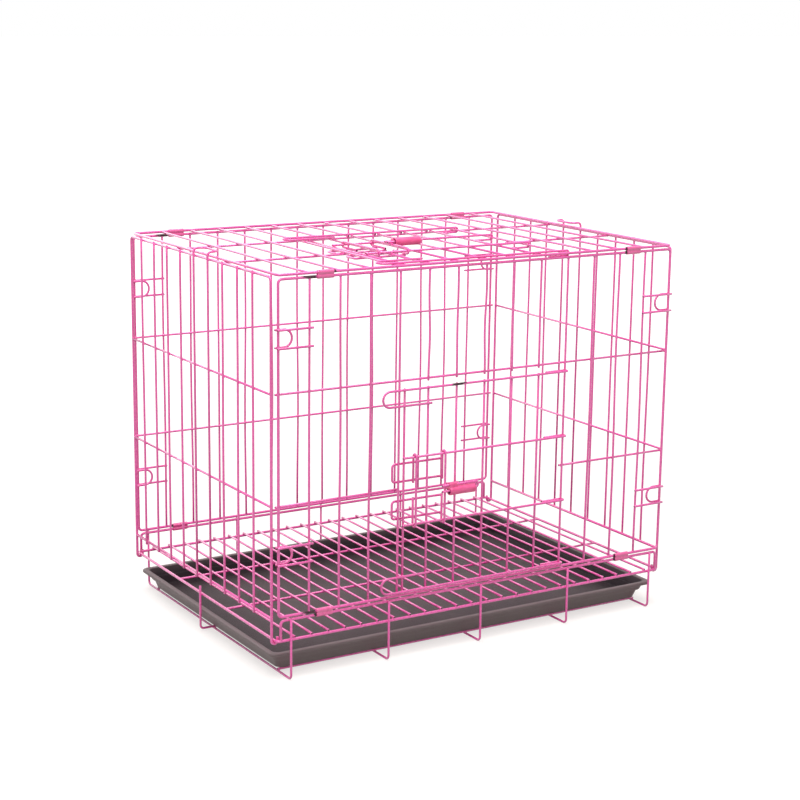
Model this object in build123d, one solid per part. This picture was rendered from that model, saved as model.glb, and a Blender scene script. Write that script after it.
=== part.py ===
from build123d import *
from math import radians, tan
import os

# A folding wire crate for a small dog: a wire base that carries a pull-out tray,
# front, back and roof panels that fold together, and two side panels that drop outwards.
# Millimetres, X along the crate, front towards -Y, Z up from the ground.

# Overall sizes, measured between wire centres
crate_length = 588.0
crate_depth = 420.0
panel_height = 414.0
floor_height = 52.0
rail_rise = 26.0

# Wires and their spacing
frame_wire = 3.6
bar_wire = 3.0
long_bar_count = 15
side_bar_count = 11
floor_bar_count = 24
cross_wires = 2
frame_bend = 5.0
end_overhang = 3.0
running_gap = 0.3
loose_gap = 0.4

# Base
floor_overhang = 2.0
floor_corner = 5.0
bar_end_lap = 1.5
rail_end_inset = 3.0
leg_count = 5
leg_end_inset = 15.5
leg_bend = 6.0
ground_wire_inset = 30.0
stop_wire_rise = 12.0
stop_wire_foot = 28.0
stop_wire_bend = 5.0

# Clips that hinge two parallel wires together
pivot_gap = 5.0
clip_length = 22.0
clip_wall = 0.8
clip_inset = 63.0

# Corner hook bars and loops on the front and back panels
low_hook_height = 77.0
high_hook_height = 343.0
hook_bar_spread = 22.2
hook_bar_overhang = 4.0
loop_half_height = 10.7
loop_reach = 20.0

# Side panels
side_inset = 7.0
side_top_drop = 3.0
side_bottom_drop = 3.0
side_bar_overhang = 3.0
hinge_tail = 5.0
top_hook_bar = 4
top_hook_rise = 6.5
top_hook_run = 1.0
top_hook_bend = 5.0
top_hook_corner = 10.0

# Doors in the front panel and in the roof
door_first_bar = 4
door_last_bar = 10
door_rise = 5.0
door_height = 260.0
door_wires = 4
door_top_gap = 11.0
door_edge_gap = 7.5
door_end_lap = 3.0
door_hook_tail = 28.0
tongue_reach = 25.0
tongue_bend = 10.0
tongue_return = 46.0

# Door latch: a sliding wire frame, two bolts and a grip
slider_offsets = (22.0, 65.0)
slider_tail = 34.0
bolt_reach = 7.0
bolt_drop = 8.0
bolt_spread = 23.0
bolt_bend = 4.0
bolt_end_lap = 3.0
handle_lap = 6.0
handle_drop = 5.0
grip_gap = 4.0
grip_length = 38.0
grip_diameter = 11.4
grip_bore_gap = 0.2
grip_mouth = 7.6
grip_mouth_depth = 6.0
grip_tab_length = 11.0
grip_tab_width = 6.4
handle_clearance = 0.5
handle_overrun = 2.0

# Tray
tray_end_gap = 0.8
tray_bearing = 3.0
tray_corner = 9.0
tray_wall = 2.2
tray_low_height = 12.0
tray_step = 2.0
tray_height = 25.0
tray_flare = 0.36
tray_rim = 5.0
tray_rim_lip = 4.0
tray_seat_gap = 0.3

# Places worked out from the sizes above
frame_r = frame_wire / 2
bar_r = bar_wire / 2
half_length = crate_length / 2
half_depth = crate_depth / 2
bar_pitch = crate_length / (long_bar_count - 1)
lap = frame_r + bar_r
bar_plane = frame_r - bar_r
rail_z = floor_height + rail_rise
pivot_z = rail_z + pivot_gap
panel_top_z = pivot_z + panel_height
roof_z = panel_top_z + pivot_gap
floor_half = half_length + floor_overhang
hinge_bend = frame_wire + loose_gap
side_x = floor_half + hinge_bend
side_half = half_depth - side_inset
side_bar_x = side_x + lap
side_pitch = 2 * side_half / (side_bar_count - 1)
side_top_z = roof_z - side_top_drop
side_bottom_z = pivot_z - side_bottom_drop
leg_y = half_depth + lap
leg_x = half_length - leg_end_inset
ground_wire_z = bar_r + bar_wire
stop_x = floor_half + lap
first_bar_x = -half_length + door_first_bar * bar_pitch
hinge_x = -half_length + door_last_bar * bar_pitch
hook_bend = bar_wire + running_gap
cross_plane = bar_plane - hook_bend
door_bar_plane = cross_plane + bar_wire
bolt_plane = bar_plane + bar_wire + running_gap
tail_plane = bolt_plane - bar_wire
slider_bend = tail_plane - cross_plane
main_plane = cross_plane - slider_bend
handle_plane = main_plane - bar_wire
door_levels = [door_rise + k * door_height / (door_wires - 1) for k in range(door_wires)]
low_level, high_level = door_levels[1], door_levels[-2]
handle_level = (low_level + high_level) / 2 - handle_drop
handle_bend = (grip_diameter / 2 + handle_clearance + bar_r) / 2
slider_x = [first_bar_x + offset for offset in slider_offsets]
grip_start = slider_x[-1] + grip_gap
clip_x = half_length - clip_inset
tray_spread = tray_flare * tray_height + tray_step + tray_rim
tray_floor_length = 2 * (stop_x - bar_r - tray_end_gap - tray_spread)
tray_floor_depth = 2 * (half_depth - ground_wire_inset + tray_bearing)
tray_floor_z = ground_wire_z + bar_r + tray_seat_gap


def rod(start, end, diameter):
    """Straight round wire between two points."""
    run = Vector(*end) - Vector(*start)
    return Solid.make_cylinder(diameter / 2, run.length, Plane(Vector(*start), z_dir=run))


def elbow(start, arrive, leave, bend, diameter):
    """Wire bent from one direction to another about the bend's own axis."""
    turn = arrive.get_angle(leave)
    normal = arrive.cross(leave).normalized()
    centre = start + normal.cross(arrive) * bend
    section = Plane(start, z_dir=arrive) * Circle(diameter / 2)
    return revolve(section, Axis(centre, normal), turn).solid()


def bent_wire(points, bends, diameter, closed=False):
    """Wire through corner points, as straight runs and round bends that meet face to face."""
    points = [Vector(*point) for point in points]
    corners = range(len(points)) if closed else range(1, len(points) - 1)
    pieces = []
    runs = [] if closed else [points[0]]
    for number, corner in enumerate(corners):
        bend = bends[number] if isinstance(bends, (list, tuple)) else bends
        at = points[corner]
        arrive = (at - points[corner - 1]).normalized()
        leave = (points[(corner + 1) % len(points)] - at).normalized()
        set_back = bend * tan(radians(arrive.get_angle(leave)) / 2)
        pieces.append(elbow(at - arrive * set_back, arrive, leave, bend, diameter))
        runs += [at - arrive * set_back, at + leave * set_back]
    runs = runs[1:] + runs[:1] if closed else runs + [points[-1]]
    for start, end in zip(runs[::2], runs[1::2]):
        if (end - start).length > running_gap / 10:
            pieces.append(rod(start, end, diameter))
    return pieces


def panel_frame(height):
    """Closed wire rectangle, its lower wire on the X axis."""
    corners = [
        (-half_length, 0, 0),
        (-half_length, 0, height),
        (half_length, 0, height),
        (half_length, 0, 0),
    ]
    return bent_wire(corners, frame_bend, frame_wire, closed=True)


def panel_bars(height, door):
    """Upright bars between the lower and upper wires, cut short above a doorway."""
    bars = []
    doorway_top = cross_level(cross_wires) - bar_r
    for number in range(1, long_bar_count - 1):
        x = -half_length + number * bar_pitch
        over_door = door and door_first_bar < number < door_last_bar
        low = doorway_top - bar_end_lap if over_door else frame_r
        bars.append(rod((x, bar_plane, low), (x, bar_plane, height - frame_r), bar_wire))
    return bars


def cross_level(number):
    """Height of a long cross wire above its panel's lower wire. The top one crosses over the door."""
    return (door_rise + door_height + door_top_gap) * number / cross_wires


def panel_cross_wires(door):
    """Long wires behind the bars. A doorway interrupts those that it meets."""
    wires = []
    end = half_length + end_overhang
    for number in range(1, cross_wires + 1):
        z = cross_level(number)
        spans = [(-end, end)]
        if door and z < door_rise + door_height:
            spans = [(-end, first_bar_x + end_overhang), (hinge_x - end_overhang, end)]
        wires += [rod((a, lap, z), (b, lap, z), bar_wire) for a, b in spans]
    return wires


def hook_bars():
    """Pairs of short bars that tie each corner post to the next bar."""
    bars = []
    for side in (-1, 1):
        for centre in (low_hook_height, high_hook_height):
            for z in (centre - hook_bar_spread / 2, centre + hook_bar_spread / 2):
                post = (side * (half_length + end_overhang), -lap, z)
                inner = (side * (half_length - bar_pitch - hook_bar_overhang), -lap, z)
                bars.append(rod(post, inner, bar_wire))
    return bars


def corner_loops():
    """Wire loops behind the hook bars, inside the corner post, their cut ends just past it."""
    loops = []
    for side in (-1, 1):
        for centre in (low_hook_height, high_hook_height):
            out = side * (half_length + end_overhang)
            inner = side * (half_length - loop_reach)
            low, high = centre - loop_half_height, centre + loop_half_height
            path = [(out, lap, low), (inner, lap, low), (inner, lap, high), (out, lap, high)]
            loops += bent_wire(path, loop_half_height, bar_wire)
    return loops


def door_bars():
    """Upright wires of a door, the first beside the doorway's free edge."""
    xs = [first_bar_x + door_edge_gap]
    xs += [first_bar_x + k * bar_pitch for k in range(1, door_last_bar - door_first_bar)]
    low, high = door_levels[0] - bar_r, door_levels[-1] + bar_r
    return [rod((x, door_bar_plane, low), (x, door_bar_plane, high), bar_wire) for x in xs]


def door_cross_wires():
    """Cross wires that hook round the hinge bar. The outer two turn back past the free edge."""
    inside = bar_plane + hook_bend
    wires = []
    for level in door_levels:
        hook = [
            (hinge_x + hook_bend, cross_plane, level),
            (hinge_x + hook_bend, inside, level),
            (hinge_x - door_hook_tail, inside, level),
        ]
        start = [(first_bar_x + door_edge_gap - door_end_lap, cross_plane, level)]
        bends = [hook_bend, hook_bend]
        if level in (door_levels[0], door_levels[-1]):
            turn = 2 * tongue_bend if level == door_levels[0] else -2 * tongue_bend
            tip = first_bar_x - tongue_reach
            start = [
                (first_bar_x + tongue_return, cross_plane, level + turn),
                (tip, cross_plane, level + turn),
                (tip, cross_plane, level),
            ]
            bends = [tongue_bend, tongue_bend] + bends
        wires += bent_wire(start + hook, bends, bar_wire)
    return wires


def latch_slider():
    """Two wires that hook over the upper and under the lower inner cross wire of a door."""
    wires = []
    for x in slider_x:
        path = [
            (x, tail_plane, high_level - slider_tail),
            (x, tail_plane, high_level + slider_bend),
            (x, main_plane, high_level + slider_bend),
            (x, main_plane, low_level - slider_bend),
            (x, tail_plane, low_level - slider_bend),
            (x, tail_plane, low_level + slider_tail),
        ]
        wires += bent_wire(path, slider_bend, bar_wire)
    return wires


def latch_bolts():
    """U-shaped bolts across the slider's tails, their closed ends behind the door jamb."""
    right = slider_x[-1] + bolt_end_lap
    left = first_bar_x - bolt_reach
    bolts = []
    for level, way in ((high_level, -1), (low_level, 1)):
        near = level + way * bolt_drop
        far = near + way * bolt_spread
        path = [(right, near), (left, near), (left, far), (right, far)]
        bolts += bent_wire([(x, bolt_plane, z) for x, z in path], bolt_bend, bar_wire)
    return bolts


def latch_handle():
    """Wire from the slider that turns back through the grip to the slider."""
    end = grip_start + grip_length + handle_overrun + handle_bend
    over = handle_level + 2 * handle_bend
    start = slider_x[-1] - handle_lap
    path = [(start, over), (end, over), (end, handle_level), (start, handle_level)]
    return bent_wire([(x, handle_plane, z) for x, z in path], handle_bend, bar_wire)


def latch_grip():
    """Plastic tube on the handle wire, its mouths opened out, with a tab round the upper wire."""
    at = Plane((grip_start, handle_plane, handle_level), x_dir=(0, 0, 1), z_dir=(1, 0, 0))
    bore = bar_r + grip_bore_gap
    upper = 2 * handle_bend
    tab = Pos(handle_bend, 0) * SlotCenterToCenter(upper, grip_tab_width)
    body = extrude(Circle(grip_diameter / 2), grip_length) + extrude(tab, grip_tab_length)
    body -= extrude(Circle(bore) + Pos(upper, 0) * Circle(bore), grip_length)
    mouth = extrude(Circle(grip_mouth / 2), grip_mouth_depth)
    body -= mouth
    body -= Pos(0, 0, grip_length - grip_mouth_depth) * mouth
    return [(at * body).solid()]


def floor_frame():
    """Rounded wire rectangle round the floor."""
    corners = [(x, y, floor_height) for x, y in (
        (-floor_half, -half_depth),
        (-floor_half, half_depth),
        (floor_half, half_depth),
        (floor_half, -half_depth),
    )]
    return bent_wire(corners, floor_corner, frame_wire, closed=True)


def floor_bars():
    """Close-set bars from front to back on top of the floor frame."""
    pitch = 2 * floor_half / (floor_bar_count + 1)
    z = floor_height + lap
    end = half_depth + bar_end_lap
    xs = [-floor_half + k * pitch for k in range(1, floor_bar_count + 1)]
    return [rod((x, -end, z), (x, end, z), bar_wire) for x in xs]


def floor_cross_wires():
    """Long wires under the floor bars, ending on the floor frame's sides."""
    end = floor_half - frame_r
    z = floor_height + lap - bar_wire
    ys = [-half_depth + crate_depth * k / (cross_wires + 1) for k in range(1, cross_wires + 1)]
    return [rod((-end, y, z), (end, y, z), bar_wire) for y in ys]


def rail(y):
    """Long rail above the floor frame, its ends bent down onto it."""
    end = half_length - rail_end_inset
    foot = floor_height + frame_r
    path = [(-end, y, foot), (-end, y, rail_z), (end, y, rail_z), (end, y, foot)]
    return bent_wire(path, frame_bend, frame_wire)


def leg_wires():
    """U-shaped wires from the front rail, along the ground, to the back rail."""
    wires = []
    top = rail_z + frame_r
    for k in range(leg_count):
        x = -leg_x + 2 * leg_x * k / (leg_count - 1)
        path = [(x, -leg_y, top), (x, -leg_y, bar_r), (x, leg_y, bar_r), (x, leg_y, top)]
        wires += bent_wire(path, leg_bend, bar_wire)
    return wires


def ground_wire(side):
    """Long wire across the legs' ground runs that the tray slides on."""
    y = side * (half_depth - ground_wire_inset)
    end = leg_x + bar_end_lap
    return [rod((-end, y, ground_wire_z), (end, y, ground_wire_z), bar_wire)]


def tray_stop_wire():
    """Short leg on the left that carries the floor frame and stops the tray."""
    path = [
        (-stop_x, 0, floor_height + stop_wire_rise),
        (-stop_x, 0, ground_wire_z),
        (-stop_x + stop_wire_foot, 0, ground_wire_z),
    ]
    return bent_wire(path, stop_wire_bend, bar_wire)


def clips(y, low_wire_z):
    """Flat sleeves round two parallel wires, one near each end."""
    inner = frame_r + running_gap
    outer = inner + clip_wall
    made = []
    for centre in (-clip_x, clip_x):
        at = Plane(
            (centre - clip_length / 2, y, low_wire_z + pivot_gap / 2),
            x_dir=(0, 0, 1),
            z_dir=(1, 0, 0),
        )
        ring = SlotCenterToCenter(pivot_gap, 2 * outer) - SlotCenterToCenter(pivot_gap, 2 * inner)
        made.append(extrude(at * ring, clip_length, dir=(1, 0, 0)).solid())
    return made


def side_frame():
    """Left side: posts and top wire in one, hooked round the floor frame, and a bottom wire."""
    inner = -floor_half + hinge_bend
    low = floor_height - hinge_bend
    path = [
        (inner, -side_half, floor_height + hinge_tail),
        (inner, -side_half, low),
        (-side_x, -side_half, low),
        (-side_x, -side_half, side_top_z),
        (-side_x, side_half, side_top_z),
        (-side_x, side_half, low),
        (inner, side_half, low),
        (inner, side_half, floor_height + hinge_tail),
    ]
    bends = [hinge_bend, hinge_bend, frame_bend, frame_bend, hinge_bend, hinge_bend]
    end = side_half - frame_r
    bottom = rod((-side_x, -end, side_bottom_z), (-side_x, end, side_bottom_z), frame_wire)
    return bent_wire(path, bends, frame_wire) + [bottom]


def side_bars():
    """Upright bars outside the left side's frame, apart from those of the top hook."""
    low = side_bottom_z - side_bar_overhang
    high = side_top_z + side_bar_overhang
    bars = []
    for number in range(1, side_bar_count - 1):
        y = -side_half + number * side_pitch
        if number not in (top_hook_bar, top_hook_bar + 1):
            bars.append(rod((-side_bar_x, y, low), (-side_bar_x, y, high), bar_wire))
    return bars


def side_top_hook():
    """Two bars of the left side in one wire, looped in over the roof's end wire."""
    front = -side_half + top_hook_bar * side_pitch
    back = front + side_pitch
    low = side_bottom_z - side_bar_overhang
    over = roof_z + top_hook_rise
    inner = -side_bar_x + top_hook_bend + top_hook_run + top_hook_corner
    path = [
        (-side_bar_x, front, low),
        (-side_bar_x, front, over),
        (inner, front, over),
        (inner, back, over),
        (-side_bar_x, back, over),
        (-side_bar_x, back, low),
    ]
    bends = [top_hook_bend, top_hook_corner, top_hook_corner, top_hook_bend]
    return bent_wire(path, bends, bar_wire)


def side_cross_wires():
    """Cross wires of the left side, level with those of the front panel."""
    x = -side_bar_x + bar_wire
    end = side_half - frame_r
    levels = [pivot_z + cross_level(k) for k in range(1, cross_wires + 1)]
    return [rod((x, -end, z), (x, end, z), bar_wire) for z in levels]


def tray_outline(rise, spread):
    """Rounded rectangle of the tray at one height."""
    z = tray_floor_z + rise
    length = tray_floor_length + 2 * spread
    depth = tray_floor_depth + 2 * spread
    return Pos(0, 0, z) * RectangleRounded(length, depth, tray_corner)


def tray_well(low, low_spread, high, high_spread):
    """Flared block between two heights of the tray."""
    return loft([tray_outline(low, low_spread), tray_outline(high, high_spread)])


def tray():
    """Shallow tray with a stepped, flared wall and a lipped rim."""
    step_spread = tray_flare * tray_low_height
    upper_spread = step_spread + tray_step
    top_spread = upper_spread + tray_flare * (tray_height - tray_low_height)
    outside = tray_well(0, 0, tray_low_height, step_spread)
    outside += tray_well(tray_low_height, upper_spread, tray_height, top_spread)
    outside += extrude(tray_outline(tray_height - tray_wall, tray_spread), tray_wall)
    lip = extrude(tray_outline(tray_height - tray_rim_lip, tray_spread), tray_rim_lip)
    lip -= extrude(tray_outline(tray_height - tray_rim_lip, tray_spread - tray_wall), tray_rim_lip)
    outside += lip
    ledge = tray_low_height + tray_wall
    inside = tray_well(tray_wall, -tray_wall, ledge, step_spread - tray_wall)
    inside += tray_well(ledge, upper_spread - tray_wall, tray_height, top_spread - tray_wall)
    return [(outside - inside).solid()]


def build():
    """Every node of the crate, as lists of solids, standing on the ground."""
    front = Pos(0, -half_depth, pivot_z)
    back = Pos(0, half_depth, pivot_z) * Rot(0, 0, 180)
    roof = Pos(0, -half_depth, roof_z) * Rot(-90, 0, 0)
    left = Pos(0, 0, 0)
    right = Rot(0, 0, 180)
    base = {
        "floor_frame": floor_frame(),
        "floor_bars": floor_bars(),
        "floor_cross_wires": floor_cross_wires(),
        "front_rail": rail(-half_depth),
        "back_rail": rail(half_depth),
        "leg_wires": leg_wires(),
        "front_ground_wire": ground_wire(-1),
        "back_ground_wire": ground_wire(1),
        "tray_stop_wire": tray_stop_wire(),
        "front_rail_clips": clips(-half_depth, rail_z),
        "back_rail_clips": clips(half_depth, rail_z),
        "roof_front_clips": clips(-half_depth, panel_top_z),
        "roof_back_clips": clips(half_depth, panel_top_z),
        "tray": tray(),
    }
    nodes = dict(base)
    for name, place in (("front", front), ("back", back)):
        has_door = name == "front"
        nodes[f"{name}_frame"] = moved(place, panel_frame(panel_height))
        nodes[f"{name}_bars"] = moved(place, panel_bars(panel_height, has_door))
        nodes[f"{name}_cross_wires"] = moved(place, panel_cross_wires(has_door))
        nodes[f"{name}_hook_bars"] = moved(place, hook_bars())
        nodes[f"{name}_corner_loops"] = moved(place, corner_loops())
    nodes["roof_frame"] = moved(roof, panel_frame(crate_depth))
    nodes["roof_bars"] = moved(roof, panel_bars(crate_depth, True))
    nodes["roof_cross_wires"] = moved(roof, panel_cross_wires(True))
    for name, place in (("front", front), ("roof", roof)):
        nodes[f"{name}_door_bars"] = moved(place, door_bars())
        nodes[f"{name}_door_cross_wires"] = moved(place, door_cross_wires())
        nodes[f"{name}_latch_slider"] = moved(place, latch_slider())
        nodes[f"{name}_latch_bolts"] = moved(place, latch_bolts())
        nodes[f"{name}_latch_handle"] = moved(place, latch_handle())
        nodes[f"{name}_latch_grip"] = moved(place, latch_grip())
    for name, place in (("left", left), ("right", right)):
        nodes[f"{name}_frame"] = moved(place, side_frame())
        nodes[f"{name}_bars"] = moved(place, side_bars())
        nodes[f"{name}_top_hook"] = moved(place, side_top_hook())
        nodes[f"{name}_cross_wires"] = moved(place, side_cross_wires())
    return nodes


def moved(place, solids):
    """Solids carried from a panel's own frame to the crate."""
    return [place * solid for solid in solids]


# The front latch stands further out than the back, so the crate is centred on its own box.
nodes = build()
box = Compound([solid for solids in nodes.values() for solid in solids]).bounding_box()
centre_shift = -(box.min.Y + box.max.Y) / 2
os.makedirs("parts", exist_ok=True)
for name, solids in nodes.items():
    export_step(Pos(0, centre_shift, 0) * Compound(solids), f"parts/{name}.step")
print("box", box.size, "shift", round(centre_shift, 3))
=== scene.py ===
import math
import bpy
import numpy as np
from mathutils import Matrix, Vector


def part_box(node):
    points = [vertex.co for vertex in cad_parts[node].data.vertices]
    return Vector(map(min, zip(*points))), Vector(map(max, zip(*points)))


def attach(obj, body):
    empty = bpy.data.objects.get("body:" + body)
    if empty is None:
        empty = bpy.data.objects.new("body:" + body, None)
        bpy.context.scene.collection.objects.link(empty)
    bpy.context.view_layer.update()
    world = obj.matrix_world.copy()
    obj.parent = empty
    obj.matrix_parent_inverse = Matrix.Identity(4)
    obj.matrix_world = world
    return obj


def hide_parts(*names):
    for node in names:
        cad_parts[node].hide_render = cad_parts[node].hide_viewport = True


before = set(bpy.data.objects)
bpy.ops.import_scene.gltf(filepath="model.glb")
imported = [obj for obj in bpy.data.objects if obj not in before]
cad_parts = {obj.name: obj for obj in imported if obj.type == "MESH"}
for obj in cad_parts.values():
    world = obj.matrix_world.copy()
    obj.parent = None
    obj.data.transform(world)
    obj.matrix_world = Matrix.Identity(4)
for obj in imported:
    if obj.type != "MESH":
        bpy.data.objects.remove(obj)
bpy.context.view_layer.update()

mm = 0.001
dice = np.random.default_rng(7)

# crate sizes, millimetres between wire centres
crate = {
    "length": 588.0, "depth": 420.0, "panelHeight": 414.0,
    "floorHeight": 52.0, "railRise": 26.0, "pivotGap": 5.0,
    "frameWire": 3.6, "barWire": 3.0, "frameBend": 5.0,
    "longBars": 15, "sideBars": 11, "floorBars": 24,
    "wireEnd": 3.0,  # how far a cross wire runs past its last bar
    "looseGap": 0.4, "runningGap": 0.3,
    "endChamfer": 0.24,  # of a cut wire end, as a share of its radius
}
halfLength = crate["length"] / 2
halfDepth = crate["depth"] / 2
frameR = crate["frameWire"] / 2
barR = crate["barWire"] / 2
lap = frameR + barR  # centre to centre where a bar crosses a frame wire
barPlane = frameR - barR  # bars are flush with the inner side of their frame
barPitch = crate["length"] / (crate["longBars"] - 1)
barX = -halfLength + barPitch * np.arange(crate["longBars"])
floorZ = crate["floorHeight"]
railZ = floorZ + crate["railRise"]
pivotZ = railZ + crate["pivotGap"]
panelTopZ = pivotZ + crate["panelHeight"]
roofZ = panelTopZ + crate["pivotGap"]
frontLow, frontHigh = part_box("front_frame")
shiftY = (frontLow.y + frontHigh.y) / 2 / mm + halfDepth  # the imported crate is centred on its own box


# wire paths

mergeDistance = 0.02  # path points closer than this are one point


def unit(vectors):
    return vectors / np.linalg.norm(vectors, axis=-1, keepdims=True)


def roundedPath(corners, bends=0.0, closed=False, steps=7):
    # straight runs between corners, each corner an arc:
    # centre + bend (sin t along the arriving run, -cos t across it)
    points = np.asarray(corners, float)
    count = len(points)
    turns = range(count) if closed else range(1, count - 1)
    parts = [] if closed else [points[:1]]
    for k, bend in zip(turns, np.broadcast_to(bends, len(turns))):
        arrive = unit(points[k] - points[k - 1])
        leave = unit(points[(k + 1) % count] - points[k])
        turn = math.acos(np.clip(arrive @ leave, -1, 1))
        across = unit(leave - (leave @ arrive) * arrive)
        start = points[k] - arrive * bend * math.tan(turn / 2)
        t = np.linspace(0, turn, steps)[:, None]
        parts.append(start + across * bend + bend * (np.sin(t) * arrive - np.cos(t) * across))
    if not closed:
        parts.append(points[-1:])
    path = np.concatenate(parts)
    apart = np.linalg.norm(np.diff(path, axis=0), axis=1) > mergeDistance
    return path[np.r_[True, apart]]


def straight(start, end):
    return np.array([start, end], float)


bowShape = {"waves": 1.7, "shift": 5.0}  # half waves along a bar, and their shift per millimetre of bow


def bow(t, amount):
    # how far a bar wanders to the side: zero at both ends, a slow uneven sine between them
    wave = bowShape["waves"] * np.pi * t + bowShape["shift"] * amount
    return amount * np.sin(np.pi * t) * np.sin(wave)


def bowed(start, end, across, amount, steps=17):
    # straight run from start to end with the bow added across it
    t = np.linspace(0, 1, steps)[:, None]
    start = np.asarray(start, float)
    return start + (np.asarray(end, float) - start) * t + np.asarray(across, float) * bow(t, amount)


# where each panel stands: from its own frame (x along, y inwards, z up) to the crate

def toFront(p):
    return np.stack([p[:, 0], p[:, 1] - halfDepth, p[:, 2] + pivotZ], 1)


def toBack(p):
    return np.stack([-p[:, 0], halfDepth - p[:, 1], p[:, 2] + pivotZ], 1)


def toRoof(p):
    return np.stack([p[:, 0], p[:, 2] - halfDepth, roofZ - p[:, 1]], 1)


def toCrate(p):
    return p


def turned(p):
    return p * np.array([-1.0, -1.0, 1.0])


# mesh making

sideways = np.array([0.31, 0.57, 0.76])  # a direction that no wire runs along


def around(columns):
    return np.linspace(0, 2 * np.pi, columns, endpoint=False)


def gridQuads(rows, columns, rowsClosed=False):
    # quads of a grid of rows by columns, columns wrapped round, rows too where closed
    r = np.arange(rows if rowsClosed else rows - 1)[:, None]
    c = np.arange(columns)[None, :]
    nextR = (r + 1) % rows
    nextC = (c + 1) % columns
    corners = [r * columns + c, r * columns + nextC, nextR * columns + nextC, nextR * columns + c]
    return np.stack(corners, -1).reshape(-1, 4)


def endCaps(rows, columns):
    # the first row, turned to face out, and the last row of a grid
    ring = np.arange(columns)
    return [ring[::-1].tolist(), ((rows - 1) * columns + ring).tolist()]


def sweepWire(path, radius, closed=False, sides=14):
    # a circle carried along the path: point + r (cos a u + sin a v),
    # with u and v square to the path and the cut ends chamfered
    if closed:
        tangent = np.roll(path, -1, 0) - np.roll(path, 1, 0)
        rings = np.full(len(path), radius)
    else:
        first = unit(path[1] - path[0])
        last = unit(path[-1] - path[-2])
        chamfer = crate["endChamfer"] * radius
        head = [path[:1], path[:1] + first * chamfer]
        tail = [path[-1:] - last * chamfer, path[-1:]]
        path = np.concatenate(head + [path[1:-1]] + tail)
        tangent = np.gradient(path, axis=0)
        tangent[:2] = first
        tangent[-2:] = last
        rings = np.full(len(path), radius)
        rings[[0, -1]] = radius - chamfer
    tangent = unit(tangent)
    u = unit(np.cross(tangent, sideways))[:, None, :]
    v = np.cross(tangent, u[:, 0])[:, None, :]
    a = around(sides)[None, :, None]
    verts = path[:, None, :] + rings[:, None, None] * (np.cos(a) * u + np.sin(a) * v)
    caps = [] if closed else endCaps(len(path), sides)
    return verts.reshape(-1, 3), gridQuads(len(path), sides, closed), caps


def addPiece(name, body, surfaces, materials, replaces=(), capMaterial=0, smoothCaps=False):
    # joins surfaces (vertices, quads, caps and, if any, a shade per vertex) into one object in metres
    starts = np.cumsum([0] + [len(surface[0]) for surface in surfaces[:-1]]).tolist()
    verts = np.concatenate([surface[0] for surface in surfaces])
    quads = np.concatenate([surface[1] + at for surface, at in zip(surfaces, starts)])
    caps = [[i + at for i in cap] for surface, at in zip(surfaces, starts) for cap in surface[2]]
    shades = [surface[3] for surface in surfaces if len(surface) > 3]
    mesh = bpy.data.meshes.new(name)
    mesh.from_pydata(((verts + [0, shiftY, 0]) * mm).tolist(), [], quads.tolist() + caps)
    isCap = np.arange(len(quads) + len(caps)) >= len(quads)
    mesh.polygons.foreach_set("use_smooth", ~isCap | smoothCaps)
    for material in materials:
        mesh.materials.append(material)
    mesh.polygons.foreach_set("material_index", (isCap * capMaterial).astype(np.int32))
    if shades:
        shade = mesh.attributes.new("shade", "FLOAT", "POINT")
        shade.data.foreach_set("value", np.concatenate(shades).astype(np.float32))
    mesh.update()
    piece = bpy.data.objects.new(name, mesh)
    bpy.context.scene.collection.objects.link(piece)
    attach(piece, body)
    if replaces:
        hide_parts(*replaces)
    return piece


# shader parts

def newGroup(name, inputs, outputs):
    group = bpy.data.node_groups.new(name, "ShaderNodeTree")
    for label, kind, value in inputs:
        socket = group.interface.new_socket(name=label, in_out="INPUT", socket_type=kind)
        if value is not None:
            socket.default_value = value
    for label, kind in outputs:
        group.interface.new_socket(name=label, in_out="OUTPUT", socket_type=kind)
    return group, group.nodes.new("NodeGroupInput").outputs, group.nodes.new("NodeGroupOutput").inputs


def node(tree, kind, **settings):
    made = tree.nodes.new(kind)
    for key, value in settings.items():
        setattr(made, key, value)
    return made


def mathNode(tree, operation, a, b):
    made = node(tree, "ShaderNodeMath", operation=operation)
    tree.links.new(a, made.inputs[0])
    tree.links.new(b, made.inputs[1])
    return made.outputs[0]


def spread(tree, value, low, high, outLow, outHigh):
    # straight-line change of one range of values into another, clamped
    made = node(tree, "ShaderNodeMapRange")
    for key, number in (("From Min", low), ("From Max", high), ("To Min", outLow), ("To Max", outHigh)):
        made.inputs[key].default_value = number
    tree.links.new(value, made.inputs["Value"])
    return made.outputs["Result"]


def mixColours(tree, share, a, b):
    made = node(tree, "ShaderNodeMix", data_type="RGBA")
    for socket, value in ((made.inputs[6], a), (made.inputs[7], b)):
        if isinstance(value, tuple):
            socket.default_value = value
        else:
            tree.links.new(value, socket)
    tree.links.new(share, made.inputs[0])
    return made.outputs[2]


# noise grains: scale per metre, detail, roughness
grains = {
    "coatDrift": (9.0, 2.0, 0.5), "coatRuns": (140.0, 3.0, 0.6), "coatPeel": (900.0, 2.0, 0.55),
    "coatHaze": (260.0, 2.0, 0.5), "scuffLines": (1.0, 4.0, 0.65), "trayGrain": (1500.0, 3.0, 0.6),
    "bareRust": (420.0, 4.0, 0.6), "bareHaze": (700.0, 2.0, 0.5), "bareGrain": (1600.0, 3.0, 0.5),
    "gripCloud": (110.0, 3.0, 0.55), "gripHaze": (320.0, 2.0, 0.5), "gripGrain": (1300.0, 2.0, 0.5),
    "trayMottle": (14.0, 3.0, 0.5),
}
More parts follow.
